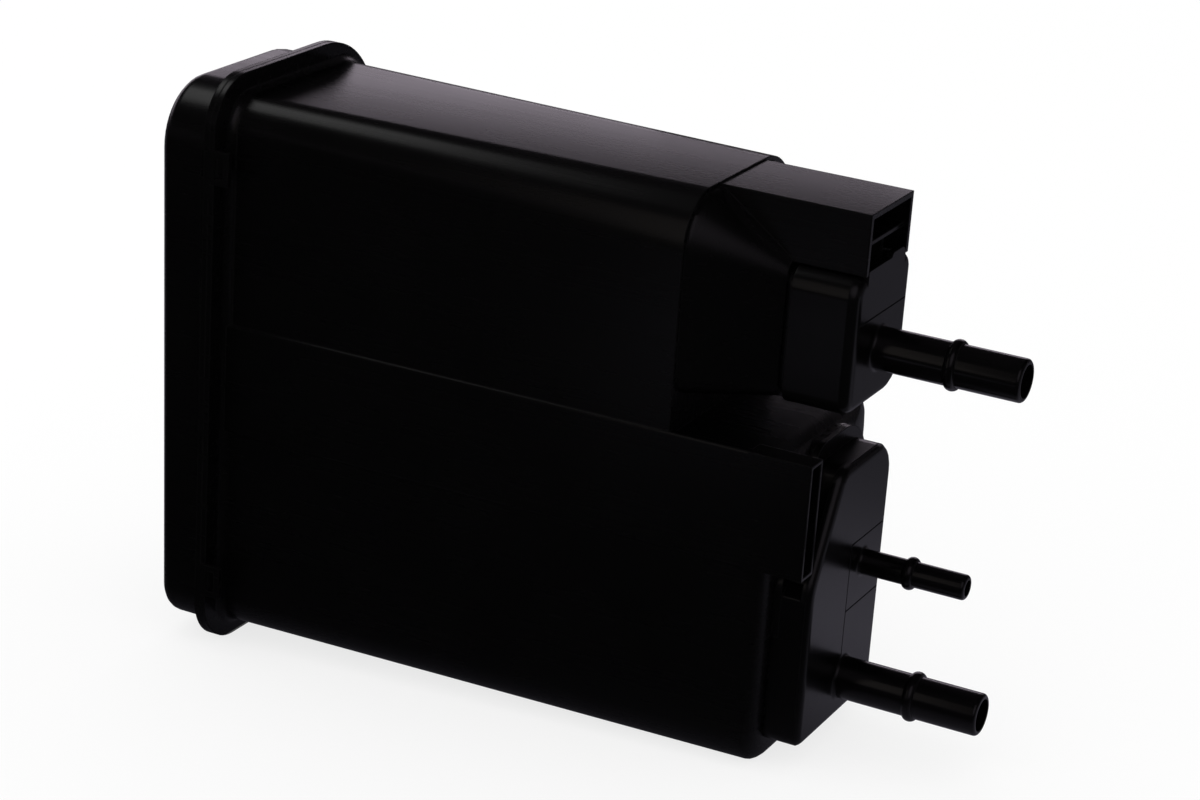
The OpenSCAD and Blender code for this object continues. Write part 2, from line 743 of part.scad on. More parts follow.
module fuel_port_cover() {
    tank_at = [fuel_face, 0, fuel_z + tank_tube_up];
    purge_at = [fuel_face, purge_tube_rear, fuel_z + purge_tube_up];
    color(plastic) place() difference() {
        union() {
            along_x(lower_l, fuel_depth - fuel_plate_t/2) {
                outline(fuel_low, fuel_low_r);
                outline(fuel_high(fuel_top, fuel_ledge_w), fuel_high_r);
            }
            skin(block_rings(fuel_plate, fuel_plate_r, fuel_face - fuel_plate_t, fuel_face, fuel_edge_r,
                short_steps));
            along_x(lower_l, rim_t) outline(rim_outline, rim_r);
            translate(tank_at) port_tube(tube_d, tube_l, tube_bead_x);
            translate(purge_at) port_tube(purge_d, purge_l, purge_bead_x);
        }
        along_x(lower_l - join, fuel_depth - port_wall + join) {
            outline(tank_room, tank_room_r);
            outline(purge_room, purge_room_r);
        }
        translate(tank_at) port_bore(tube_bore, tube_l);
        translate(purge_at) port_bore(purge_bore, purge_l);
        fuel_lines();
    }
}

// Carbon beds fill the chambers between the foam pads and the port felts
bed_x = plate_x + plate_t + pad_t;

module vent_carbon_bed() {
    end = felt_seat_upper - felt_t;
    d = wall + clearance;
    color("#2b2b2b") place()
        skin([ring(bed_x, upper_section(bed_x, upper_floor + clearance, d)),
            ring(end, upper_section(end, upper_floor + clearance, d))]);
}

module fuel_carbon_bed() {
    end = felt_seat_lower - felt_t;
    d = wall + clearance;
    color("#2b2b2b") place()
        skin([ring(bed_x, lower_section(bed_x, lower_roof - clearance, d)),
            ring(end, lower_section(end, lower_roof - clearance, d))]);
}

// Outlines of the flat inner pieces, cut to the chamber at a place along the length
function upper_flat(x, d) =
    rect(d - upper_half(x), upper_half(x) - d, upper_floor + d - wall, roof(x) - d);
function lower_flat(x, d) =
    rect(d - lower_half(x), lower_half(x) - d, keel(x) + d, lower_roof - d + wall);
function upper_flat_r(x) =
    [partition_r, mix(corner_r_joint_rear, corner_r_rear, x) - wall + sharp_r,
        mix(corner_r_joint, corner_r_front, x) - wall + sharp_r, partition_r];
lower_flat_r = [corner_r_bottom - wall + sharp_r, partition_r + sharp_r,
    partition_r + sharp_r, corner_r_bottom - wall + sharp_r];

module vent_port_felt() {
    d = wall + clearance;
    color("#d8d6cc") place()
        along_x(felt_seat_upper - felt_t, felt_t)
            outline(upper_flat(felt_seat_upper, d), upper_flat_r(felt_seat_upper));
}

// The two lower felts lie side by side on the end wall, split level with the rib
module lower_felt(bottom, top, radii) {
    d = wall + clearance;
    half = lower_half(felt_seat_lower) - d;
    color("#d8d6cc") place()
        along_x(felt_seat_lower - felt_t, felt_t)
            outline(rect(-half, half, bottom, top), radii);
}

module tank_port_felt() {
    lower_felt(keel(felt_seat_lower) + wall + clearance, (rib_low + rib_high - clearance)/2,
        [lower_flat_r[0], sharp_r, sharp_r, lower_flat_r[3]]);
}

module purge_port_felt() {
    lower_felt((rib_low + rib_high + clearance)/2, lower_roof - clearance,
        [sharp_r, lower_flat_r[1], lower_flat_r[2], sharp_r]);
}

module vent_foam_pad() {
    color("#4a4a4e") place()
        along_x(plate_x + plate_t, pad_t)
            outline(upper_flat(bed_x, wall + clearance), upper_flat_r(bed_x));
}

module fuel_foam_pad() {
    color("#4a4a4e") place()
        along_x(plate_x + plate_t, pad_t)
            outline(lower_flat(bed_x, wall + clearance), lower_flat_r);
}

// Retainer plate: a rimmed grid with a solid seat under each spring
module retainer_plate(p, radii, seat_z) {
    front = p[3][0] + plate_rim;
    rear = p[0][0] - plate_rim;
    low = p[0][1] + plate_rim;
    high = p[1][1] - plate_rim;
    across = floor((rear - front - grid_hole)/grid_pitch);
    up = floor((high - low - grid_hole)/grid_pitch);
    start = [(front + rear - across*grid_pitch)/2, (low + high - up*grid_pitch)/2];
    seat_r = spring_d/2 + wire_d + grid_hole/2;
    function clear(c) = min([for (y = [-spring_y, spring_y]) norm(c - [y, seat_z])]) > seat_r;
    along_x(plate_x, plate_t)
        difference() {
            outline(p, radii);
            for (i = [0:across])
                for (k = [0:up])
                    let (c = start + grid_pitch*[i, k])
                    if (clear(c)) translate(c) circle(d = grid_hole, $fn = 32);
        }
    for (y = [-spring_y, spring_y])
        translate([plate_x + join/2, y, seat_z])
            rotate([0, -90, 0]) cylinder(r = post_r, h = post_h);
}

module vent_retainer_plate() {
    color("#c9c7bd") place()
        retainer_plate(upper_flat(bed_x, wall + clearance), upper_flat_r(bed_x), spring_heights[1]);
}

module fuel_retainer_plate() {
    color("#c9c7bd") place()
        retainer_plate(lower_flat(bed_x, wall + clearance), lower_flat_r, spring_heights[0]);
}

// Compression spring between a seat of the cover and a retainer plate, with closed end turns
module spring(y, z) {
    coil_steps = 12;
    wire_sides = 6;
    rest = 0.05;
    low = seat_x + wire_d/2 + rest;
    high = plate_x - wire_d/2 - rest;
    turns = spring_turns + 2;
    total = turns*coil_steps;
    end_pitch = 1.05*wire_d;
    function rise(t) =
        t < 1 ? low + end_pitch*t
        : t > turns - 1 ? high - end_pitch*(turns - t)
        : low + end_pitch + (high - low - 2*end_pitch)*(t - 1)/(turns - 2);
    function wire_ring(i) =
        let (t = i/coil_steps, a = 360*t)
        [for (k = [0:wire_sides - 1])
            let (b = 360*k/wire_sides, r = spring_d/2 + wire_d/2*cos(b))
            [rise(t) + wire_d/2*sin(b), r*cos(a), r*sin(a)]];
    color("#b9bcc0") place()
        translate([0, y, z])
            skin([for (i = [0:total]) wire_ring(i)]);
}

module vent_spring_front() { spring(-spring_y, spring_heights[1]); }
module vent_spring_rear() { spring(spring_y, spring_heights[1]); }
module fuel_spring_front() { spring(-spring_y, spring_heights[0]); }
module fuel_spring_rear() { spring(spring_y, spring_heights[0]); }

canister_body();
end_cover();
vent_port_cover();
fuel_port_cover();
vent_carbon_bed();
fuel_carbon_bed();
vent_port_felt();
tank_port_felt();
purge_port_felt();
vent_foam_pad();
fuel_foam_pad();
vent_retainer_plate();
fuel_retainer_plate();
vent_spring_front();
vent_spring_rear();
fuel_spring_front();
fuel_spring_rear();
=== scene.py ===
# %% [markdown]
# # A charcoal canister in black moulded nylon
#
# The canister takes up fuel vapour from a vehicle's tank. Its body and covers are moulded in black nylon,
# and carbon, felts, plates and springs are shut in behind them. The solids come ready at their real size
# in metres. This lesson gives them their finish, lights them as a dark product is lit on a white table,
# and looks at them from the place of the photograph.

# %% Load the solids
import math

import bmesh
import bpy
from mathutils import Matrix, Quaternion, Vector


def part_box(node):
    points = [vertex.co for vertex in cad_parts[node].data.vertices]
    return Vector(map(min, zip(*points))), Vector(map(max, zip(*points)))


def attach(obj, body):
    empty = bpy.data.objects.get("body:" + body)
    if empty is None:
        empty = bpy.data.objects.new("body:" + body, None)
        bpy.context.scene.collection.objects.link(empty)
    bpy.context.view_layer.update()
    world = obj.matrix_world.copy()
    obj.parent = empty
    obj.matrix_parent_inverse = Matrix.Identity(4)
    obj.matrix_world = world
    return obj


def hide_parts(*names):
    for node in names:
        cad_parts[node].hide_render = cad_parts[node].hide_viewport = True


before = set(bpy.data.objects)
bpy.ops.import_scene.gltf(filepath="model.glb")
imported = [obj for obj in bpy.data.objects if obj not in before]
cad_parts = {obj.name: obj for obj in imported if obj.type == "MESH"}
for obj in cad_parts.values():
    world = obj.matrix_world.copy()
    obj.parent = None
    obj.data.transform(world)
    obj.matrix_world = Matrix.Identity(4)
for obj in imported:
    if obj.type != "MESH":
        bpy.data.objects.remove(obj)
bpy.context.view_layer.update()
scene = bpy.context.scene
scene.view_settings.view_transform = "Standard"
MM = 0.001

# %% [markdown]
# ## Three small helpers
#
# Colours are written as the sRGB hex values that a paint program shows, and the shaders want linear
# light, so one function turns the first into the second. Another adds a shader node: each input is either
# a plain value or the socket that feeds it, so a whole material reads from top to bottom. Inputs go by
# name, or by number where a node has several of one name, as the Mix node has for numbers and colours.
# The third starts an empty material. Nodes could also be placed by hand, but in code every value can be
# read and changed.

# %% Helpers for colours, nodes and materials


def linear(hex_colour):
    """Linear RGBA of an sRGB hex colour."""
    channels = [int(hex_colour[i:i + 2], 16) / 255 for i in (1, 3, 5)]
    return [c / 12.92 if c <= 0.04045 else ((c + 0.055) / 1.055) ** 2.4 for c in channels] + [1.0]


def add(tree, kind, inputs=None, **settings):
    """Adds a shader node with its settings, and fills or links its inputs."""
    node = tree.nodes.new("ShaderNode" + kind)
    for name, value in settings.items():
        setattr(node, name, value)
    for name, value in (inputs or {}).items():
        if isinstance(value, bpy.types.NodeSocket):
            tree.links.new(value, node.inputs[name])
        else:
            node.inputs[name].default_value = value
    return node


def new_material(name):
    """An empty material and its node tree, ready for an output."""
    material = bpy.data.materials.new(name)
    material.use_nodes = True
    material.node_tree.nodes.clear()
    return material, material.node_tree


# The Mix node's two colour inputs and its colour output, by number
MIX_A, MIX_B, MIX_COLOUR = 6, 7, 2
print("white in linear light:", linear("#ffffff"))

# %% [markdown]
# ## The camera
#
# The camera stands where the photograph was taken from. It could be set by eye, but small errors show along
# the edges. So its place, aim, roll and lens were found by laying the straight edges and the tube axes of
# the photograph over the solids. A long lens on a 36 mm sensor keeps the long body from shrinking much
# towards the back.

# %% Camera
CAMERA_PLACE = Vector((478.9, -966.2, 525.6)) * MM
CAMERA_AZIMUTH = math.radians(26.32)
CAMERA_ELEVATION = math.radians(20.70)
CAMERA_ROLL = math.radians(3.99)
CAMERA_LENS = 93.46
SENSOR_WIDTH = 36

camera = bpy.data.objects.new("camera", bpy.data.cameras.new("camera"))
scene.collection.objects.link(camera)
camera.data.lens = CAMERA_LENS
camera.data.sensor_width = SENSOR_WIDTH
camera.data.sensor_fit = "HORIZONTAL"
camera.location = CAMERA_PLACE
aim = Vector((
    -math.sin(CAMERA_AZIMUTH) * math.cos(CAMERA_ELEVATION),
    math.cos(CAMERA_AZIMUTH) * math.cos(CAMERA_ELEVATION),
    -math.sin(CAMERA_ELEVATION),
))
camera.rotation_mode = "QUATERNION"
camera.rotation_quaternion = aim.to_track_quat("-Z", "Y") @ Quaternion((0, 0, 1), CAMERA_ROLL)
scene.camera = camera
print("camera looks along", [round(v, 3) for v in aim])

# %% [markdown]
# ## Where the floor lies
#
# The canister doesn't stand level. It rests on the lower edge of its flange and on the bottom of its body
# at the tube end. The part could be turned to match, but it keeps its own frame, and the floor is laid
# through those two lines instead. The slope is the least that any point of the body's tube half makes
# with the flange's edge.

# %% Slope of the floor
edge_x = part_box("end_cover")[1].x
body_points = [v.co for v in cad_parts["canister_body"].data.vertices]
slope = min(p.z / (p.x - edge_x) for p in body_points if p.x > 0)
floor_turn = Quaternion((0, 1, 0), -math.atan(slope))
floor_place = Vector((edge_x, 0, 0))
print("floor slope in degrees:", round(math.degrees(math.atan(slope)), 2))

# %% [markdown]
# ## White paper
#
# A product like this is photographed on a sheet of white paper. Stronger lamps could bleach the paper,
# but they would make the nylon grey too. So the paper glows a little, to the eye and in reflections only,
# which keeps it white and its shadow pale without any more light on the canister.

# %% Paper floor
FLOOR_RADIUS = 4.0
DISC_SEGMENTS = 96
PAPER_LIFT = 0.78


def on_stage(name, mesh, material):
    """A piece of the studio, which isn't part of the canister."""
    piece = bpy.data.objects.new(name, mesh)
    scene.collection.objects.link(piece)
    mesh.materials.append(material)
    return piece


def floor_disc(name, radius, material, lift):
    """A flat disc of the studio, laid on the slope of the floor and lifted off it."""
    mesh = bpy.data.meshes.new(name)
    bm = bmesh.new()
    bmesh.ops.create_circle(bm, cap_ends=True, radius=radius, segments=DISC_SEGMENTS)
    bm.to_mesh(mesh)
    bm.free()
    disc = on_stage(name, mesh, material)
    disc.rotation_mode = "QUATERNION"
    disc.rotation_quaternion = floor_turn
    disc.location = floor_place + Vector((0, 0, lift))
    return disc


paper, tree = new_material("white paper sweep")
lit = add(tree, "BsdfDiffuse", {"Color": linear("#fdfdfd")})
white = add(tree, "Emission", {"Color": linear("#ffffff"), "Strength": 1.0})
ray = add(tree, "LightPath").outputs
mirrored = add(tree, "Math", {0: ray["Is Glossy Ray"], 1: ray["Is Transmission Ray"]}, operation="MAXIMUM")
seen = add(tree, "Math", {0: ray["Is Camera Ray"], 1: mirrored.outputs[0]}, operation="MAXIMUM")
lift = add(tree, "Math", {0: seen.outputs[0], 1: PAPER_LIFT}, operation="MULTIPLY")
surface = add(tree, "MixShader", {0: lift.outputs[0], 1: lit.outputs[0], 2: white.outputs[0]})
add(tree, "OutputMaterial", {"Surface": surface.outputs[0]})
floor = floor_disc("floor", FLOOR_RADIUS, paper, 0.0)
print("paper:", floor.name, "with a radius of", FLOOR_RADIUS, "m")

# %% [markdown]
# ## Light for a black object
#
# White surroundings light the paper evenly, and the paper keeps a soft shadow. Black nylon shows little
# of its own colour: what the eye sees on it is what it reflects. A panel above the end cover draws the
# long line of light on the upper rounding. A lamp with a plain bulb would only leave a spot there.

# %% White room and the panel above
SURROUND = 1.0
PANEL_PLACE = Vector((-0.73, -0.08, 1.15))
PANEL_SIZE = (0.60, 0.56)
PANEL_WATTS = 0.90
world = bpy.data.worlds.new("white room")
scene.world = world
world.use_nodes = True
world.node_tree.nodes.clear()
room = add(world.node_tree, "Background", {"Color": linear("#ffffff"), "Strength": SURROUND})
add(world.node_tree, "OutputWorld", {"Surface": room.outputs[0]})

panel = bpy.data.objects.new("panel", bpy.data.lights.new("panel", "AREA"))
scene.collection.objects.link(panel)
panel.data.shape = "RECTANGLE"
panel.data.size, panel.data.size_y = PANEL_SIZE
panel.data.energy = PANEL_WATTS
panel.location = PANEL_PLACE
print("panel stands", round(PANEL_PLACE.length, 2), "m away")

# %% [markdown]
# ## A tent that only reflections see
#
# The rest of what the nylon reflects is drawn on a tent, and all other light goes through it. More lamps
# could do the same, but each would also light the paper and throw a shadow. The tent's wall is bright low
# down behind and to the left, where the top of the body looks, and nearly dark elsewhere. A faint lamp at
# the front right gives the neck's rounding its soft band. Heights are shares of the tent's radius, the
# lamp's rim and core are cosines, and a level of 1 is white.

# %% Light on the tent wall
TENT_RADIUS = 3.0
WINDOW_FOOT, WINDOW_TOP = 0.10, 0.42
WINDOW_LEVEL, WINDOW_END_LEVEL = 2.60, 0.02
FRONT_FOOT, FRONT_TOP = 0.10, 0.36
FRONT_LEVEL, FRONT_END_LEVEL = 0.11, 0.01
FRONT_TO_BACK = 0.5
LEFT_TO_RIGHT = 0.6
LEFT_SHARE, RIGHT_SHARE = 1.0, 0.05
HORIZON_FOOT, HORIZON_TOP = 0.10, 0.26
HORIZON_SHARE = 0.03
LAMP_SIDE = Vector((0.456, -0.620, 0.638)).normalized()
LAMP_RIM, LAMP_CORE = 0.84, 0.98
LAMP_LEVEL = 0.22

wall_cloth, tree = new_material("tent wall")
position = add(tree, "NewGeometry").outputs["Position"]
place = add(tree, "SeparateXYZ", {"Vector": position})
height = add(tree, "Math", {0: place.outputs["Z"], 1: TENT_RADIUS}, operation="DIVIDE").outputs[0]
behind = add(tree, "MapRange", {
    "Value": height, "From Min": WINDOW_FOOT, "From Max": WINDOW_TOP,
    "To Min": WINDOW_LEVEL, "To Max": WINDOW_END_LEVEL,
}, interpolation_type="SMOOTHSTEP")
before = add(tree, "MapRange", {
    "Value": height, "From Min": FRONT_FOOT, "From Max": FRONT_TOP,
    "To Min": FRONT_LEVEL, "To Max": FRONT_END_LEVEL,
}, interpolation_type="SMOOTHSTEP")
side = add(tree, "MapRange", {
    "Value": place.outputs["Y"], "From Min": -FRONT_TO_BACK, "From Max": FRONT_TO_BACK,
})
left = add(tree, "MapRange", {
    "Value": place.outputs["X"], "From Min": -LEFT_TO_RIGHT, "From Max": LEFT_TO_RIGHT,
    "To Min": LEFT_SHARE, "To Max": RIGHT_SHARE,
}, interpolation_type="SMOOTHSTEP")
window = add(tree, "Math", {0: behind.outputs["Result"], 1: left.outputs["Result"]}, operation="MULTIPLY")
both = add(tree, "Mix", {
    "Factor": side.outputs["Result"], "A": before.outputs["Result"], "B": window.outputs[0],
}, data_type="FLOAT")
horizon = add(tree, "MapRange", {
    "Value": height, "From Min": HORIZON_FOOT, "From Max": HORIZON_TOP,
    "To Min": HORIZON_SHARE, "To Max": 1.0,
}, interpolation_type="SMOOTHSTEP")
walls = add(tree, "Math", {0: both.outputs["Result"], 1: horizon.outputs["Result"]}, operation="MULTIPLY")
towards = add(tree, "VectorMath", {0: position, 1: LAMP_SIDE / TENT_RADIUS}, operation="DOT_PRODUCT")
lamp = add(tree, "MapRange", {
    "Value": towards.outputs["Value"], "From Min": LAMP_RIM, "From Max": LAMP_CORE,
    "To Min": 0.0, "To Max": LAMP_LEVEL,
}, interpolation_type="SMOOTHSTEP")
level = add(tree, "Math", {0: walls.outputs[0], 1: lamp.outputs["Result"]}, operation="ADD")
glow = add(tree, "Emission", {"Color": linear("#fdf0ff"), "Strength": level.outputs[0]})
add(tree, "OutputMaterial", {"Surface": glow.outputs[0]})
print("window's level behind:", WINDOW_LEVEL, "and in front:", FRONT_LEVEL)

# %% [markdown]
# ## The tent's wall
#
# The wall is a plain sphere around the canister. Its ray switches in the object's properties let only
# reflections meet it, so it neither hides the white room nor shades the paper.

# %% Tent wall
TENT_SEGMENTS, TENT_RINGS = 64, 32


def only_reflected(piece):
    """Hides a piece of the studio from everything but reflections."""
    piece.visible_camera = False
    piece.visible_diffuse = False
    piece.visible_transmission = False
    piece.visible_volume_scatter = False
    piece.visible_shadow = False


wall_mesh = bpy.data.meshes.new("tent_wall")
bm = bmesh.new()
bmesh.ops.create_uvsphere(bm, u_segments=TENT_SEGMENTS, v_segments=TENT_RINGS, radius=TENT_RADIUS)
bm.to_mesh(wall_mesh)
bm.free()
only_reflected(on_stage("tent_wall", wall_mesh, wall_cloth))
print("tent radius in m:", TENT_RADIUS)

# %% [markdown]
# ## The tent's floor
#
# In reflections the tent's floor covers the paper. It is dark in front, where the canister shades the
# table, and pale behind, where the ends with the hose tubes look, and fades farther back. A pale spot
# farther out in front puts a sheen on the vent cover. Places and distances are in metres.

# %% Tent floor
TENT_LIFT = 1 * MM
SHADE_EDGE = 0.10
SHADE_LEVEL, PALE_LEVEL = 0.005, 0.23
FADE_START, FADE_END = 0.08, 0.26
FADE_SHARE = 0.42
SHEEN_PLACE = Vector((-0.07, -0.48, 0.0))
SHEEN_RIM, SHEEN_CORE = 0.11, 0.04
SHEEN_LEVEL = 0.20

table_cloth, tree = new_material("tent floor")
position = add(tree, "NewGeometry").outputs["Position"]
place = add(tree, "SeparateXYZ", {"Vector": position})
near = add(tree, "MapRange", {
    "Value": place.outputs["Y"], "From Min": -SHADE_EDGE, "From Max": SHADE_EDGE,
    "To Min": SHADE_LEVEL, "To Max": PALE_LEVEL,
}, interpolation_type="SMOOTHSTEP")
fade = add(tree, "MapRange", {
    "Value": place.outputs["Y"], "From Min": FADE_START, "From Max": FADE_END,
    "To Min": 1.0, "To Max": FADE_SHARE,
}, interpolation_type="SMOOTHSTEP")
shaded = add(tree, "Math", {0: near.outputs["Result"], 1: fade.outputs["Result"]}, operation="MULTIPLY")
away = add(tree, "VectorMath", {0: position, 1: SHEEN_PLACE}, operation="DISTANCE")
sheen = add(tree, "MapRange", {
    "Value": away.outputs["Value"], "From Min": SHEEN_RIM, "From Max": SHEEN_CORE,
    "To Min": 0.0, "To Max": SHEEN_LEVEL,
}, interpolation_type="SMOOTHSTEP")
level = add(tree, "Math", {0: shaded.outputs[0], 1: sheen.outputs["Result"]}, operation="ADD")
glow = add(tree, "Emission", {"Color": linear("#efeaff"), "Strength": level.outputs[0]})
add(tree, "OutputMaterial", {"Surface": glow.outputs[0]})
only_reflected(floor_disc("tent_floor", TENT_RADIUS, table_cloth, TENT_LIFT))
print("tent floor's levels in front and behind:", SHADE_LEVEL, PALE_LEVEL)

# %% [markdown]
# ## A card and a flag
#
# Photographers shape reflections with white cards and black flags. A narrow white card in front of the
# hose tubes gives each one its line of light. A black flag well behind the canister keeps the shelf under
# the neck dark: it is painted shade, which stands in the shelf's reflection for the shade under the neck.
# Only reflections can see them, like the tent.

# %% Card for the hose tubes and flag behind the canister
CARD_PLACE, CARD_SIZE = Vector((-0.10, -0.50, 0.40)), (0.12, 0.48)
CARD_LEAN = math.radians(-10)
CARD_LEVEL = 0.20
FLAG_PLACE, FLAG_SIZE = Vector((-0.02, 0.20, 0.205)), (0.11, 0.08)


def upright_card(name, material, place, size, lean=0.0):
    """A flat card that faces the front and only reflections can see."""
    mesh = bpy.data.meshes.new(name)
    corners = [(x * size[0] / 2, 0, z * size[1] / 2) for x, z in ((-1, -1), (1, -1), (1, 1), (-1, 1))]
    mesh.from_pydata(corners, [], [(0, 1, 2, 3)])
    card = on_stage(name, mesh, material)
    card.location = place
    card.rotation_euler = (0, lean, 0)
    only_reflected(card)


white_board, tree = new_material("white card")
glow = add(tree, "Emission", {"Color": linear("#fff4ee"), "Strength": CARD_LEVEL})
add(tree, "OutputMaterial", {"Surface": glow.outputs[0]})
upright_card("white_card", white_board, CARD_PLACE, CARD_SIZE, CARD_LEAN)

black_cloth, tree = new_material("black cloth")
matt = add(tree, "BsdfDiffuse", {"Color": linear("#000000")})
add(tree, "OutputMaterial", {"Surface": matt.outputs[0]})
# Painted shade: the black flag darkens the reflection in the shelf under the neck.
upright_card("black_flag", black_cloth, FLAG_PLACE, FLAG_SIZE)
print("card stands", round(-CARD_PLACE.y, 2), "m in front and flag", round(FLAG_PLACE.y, 2), "m behind")

# %% [markdown]
# ## Moulded black nylon
#
# The body and the covers are glass-filled PA66 nylon, moulded in polished steel tools. The melt leaves
# faint streaks along the way it flowed, so the shine changes a little from streak to streak. A very fine
# grain breaks the reflections up. It is drawn coarser than the real one, so that it shows. The edges of a
# moulding are never knife sharp. They could be rounded in the mesh, but the Bevel node rounds the light
# on them by less than a millimetre and leaves the form as it is. Where it bends the surface the edge is
# also rubbed dull. The large faces of the body crown a little across their width and along their length,
# so the normals lean outwards the farther they are from the middle.

# %% Nylon materials
NYLON_IOR = 1.53
NYLON_TONES = ("#020202", "#050405")
GRAIN_SIZE = 0.7 * MM
GRAIN_DEPTH = 0.02 * MM
GRAIN_STRENGTH = 0.12
STREAK_LENGTH = 300 * MM
STREAK_WIDTH = 3 * MM
CLOUD_SIZE = 45 * MM
# Two patterns around 0.5 add up to a sum between these two
SUM_LOW, SUM_HIGH = 0.5, 1.5
BEVEL_SAMPLES = 6
EDGE_DULL = 0.45
# Cosines of the bend at which an edge starts to be dull and at which it is fully so
EDGE_STARTS, EDGE_FULL = 0.99, 0.92
MIDDLE = Vector((-20, 2, 110)) * MM
# Lean of the normals for each metre away from the middle
BODY_CROWN = (0.3, 1.3, 0.0)
NO_CROWN = (0.0, 0.0, 0.0)


def moulded_nylon(name, rough_low, rough_high, edge_radius, crown):
    """Black PA66 whose roughness wanders between two values along its flow streaks."""
    material, tree = new_material(name)
    place = add(tree, "TexCoord").outputs["Object"]
    along = add(tree, "Mapping", {
        "Vector": place, "Scale": (1 / STREAK_LENGTH, 1 / STREAK_WIDTH, 1 / STREAK_WIDTH),
    }).outputs[0]
    streaks = add(tree, "TexNoise", {"Vector": along, "Scale": 1.0, "Detail": 1.0})
    clouds = add(tree, "TexNoise", {"Vector": place, "Scale": 1 / CLOUD_SIZE, "Detail": 3.0})
    both = add(tree, "Math", {0: streaks.outputs["Fac"], 1: clouds.outputs["Fac"]}, operation="ADD")
    shine = add(tree, "MapRange", {
        "Value": both.outputs[0], "From Min": SUM_LOW, "From Max": SUM_HIGH,
        "To Min": rough_low, "To Max": rough_high,
    })
    dark, light = NYLON_TONES
    colour = add(tree, "Mix", {
        "Factor": clouds.outputs["Fac"], MIX_A: linear(dark), MIX_B: linear(light),
    }, data_type="RGBA")
    grain = add(tree, "TexNoise", {"Vector": place, "Scale": 1 / GRAIN_SIZE, "Detail": 2.0})
    edge = add(tree, "Bevel", {"Radius": edge_radius}, samples=BEVEL_SAMPLES)
    unbent = add(tree, "NewGeometry").outputs["Normal"]
    bend = add(tree, "VectorMath", {0: edge.outputs[0], 1: unbent}, operation="DOT_PRODUCT")
    rubbed = add(tree, "MapRange", {
        "Value": bend.outputs["Value"], "From Min": EDGE_STARTS, "From Max": EDGE_FULL,
    })
    rough = add(tree, "Math", {
        0: rubbed.outputs["Result"], 1: EDGE_DULL, 2: shine.outputs["Result"],
    }, operation="MULTIPLY_ADD")
    middle = add(tree, "VectorMath", {0: place, 1: MIDDLE}, operation="SUBTRACT")
    bulge = add(tree, "VectorMath", {0: middle.outputs[0], 1: crown}, operation="MULTIPLY")
    bent = add(tree, "VectorMath", {0: edge.outputs[0], 1: bulge.outputs[0]}, operation="ADD")
    crowned = add(tree, "VectorMath", {0: bent.outputs[0]}, operation="NORMALIZE")
    relief = add(tree, "Bump", {
        "Strength": GRAIN_STRENGTH, "Distance": GRAIN_DEPTH,
        "Height": grain.outputs["Fac"], "Normal": crowned.outputs[0],
    })
    shader = add(tree, "BsdfPrincipled", {
        "Base Color": colour.outputs[MIX_COLOUR], "Roughness": rough.outputs[0],
        "IOR": NYLON_IOR, "Normal": relief.outputs[0],
    })
    add(tree, "OutputMaterial", {"Surface": shader.outputs[0]})
    return material


satin_nylon = moulded_nylon("moulded PA66 nylon, satin", 0.24, 0.30, 0.8 * MM, BODY_CROWN)
cover_nylon = moulded_nylon("moulded PA66 nylon, port covers", 0.22, 0.28, 0.5 * MM, NO_CROWN)
tube_nylon = moulded_nylon("moulded PA66 nylon, polished tubes", 0.14, 0.22, 0.5 * MM, NO_CROWN)
print("nylon materials:", satin_nylon.name, "/", cover_nylon.name, "/", tube_nylon.name)

# %% [markdown]
# ## Smooth shells
#
# The four outer mouldings could be modelled anew, but the solids already have their exact form. They come
# as flat facets. A welded copy of each outer shell is shaded smoothly wherever two facets meet at a small
# angle, and keeps its hard lines elsewhere. Weighted normals let the large flat faces stay flat while the
# roundings beside them turn. The copies stand for the solids.

# %% Outer shells
SHARP_ANGLE = math.radians(20)
FLAT_ANGLE = math.radians(0.05)
WELD = 0.002 * MM


def smooth_shell(node, material):
    """A welded, smoothly shaded copy of a solid that stands in its place."""
    mesh = bpy.data.meshes.new(node + "_shell")
    bm = bmesh.new()
    bm.from_mesh(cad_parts[node].data)
    bmesh.ops.remove_doubles(bm, verts=bm.verts, dist=WELD)
    bmesh.ops.dissolve_degenerate(bm, edges=bm.edges, dist=WELD)
    bmesh.ops.dissolve_limit(bm, angle_limit=FLAT_ANGLE, verts=bm.verts, edges=bm.edges)
    bm.to_mesh(mesh)
    bm.free()
    mesh.shade_smooth()
    mesh.set_sharp_from_angle(angle=SHARP_ANGLE)
    mesh.materials.clear()
    mesh.materials.append(material)
    shell = bpy.data.objects.new(node + "_shell", mesh)
    scene.collection.objects.link(shell)
    weighted = shell.modifiers.new("flat faces stay flat", "WEIGHTED_NORMAL")
    weighted.keep_sharp = True
    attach(shell, "root")
    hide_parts(node)
    return shell


body_shell = smooth_shell("canister_body", satin_nylon)
end_shell = smooth_shell("end_cover", satin_nylon)
port_shells = [smooth_shell(node, cover_nylon) for node in ("vent_port_cover", "fuel_port_cover")]
for shell in [body_shell, end_shell, *port_shells]:
    print(shell.name, "faces:", len(shell.data.polygons))

# %% [markdown]
# ## Polished hose tubes
#
# Each port cover has a large flat plate that its tubes stand on. The tubes are sealing faces, so their
# part of the tool is polished more than the rest. They could be cut off as pieces of their own, but tube
# and cover are one moulding. So every face beyond the plate takes the glossier nylon instead.

# %% Hose tubes
TUBE_ROOT = 1 * MM
FACING_OUT = 0.99
for shell in port_shells:
    faces = shell.data.polygons
    plate = max((face for face in faces if face.normal.x > FACING_OUT), key=lambda face: face.area)
    tube_start = plate.center.x + TUBE_ROOT
    shell.data.materials.append(tube_nylon)
    for face in faces:
        face.material_index = int(face.center.x > tube_start)
    print(shell.name, "plate at x in mm:", round(plate.center.x / MM, 1))
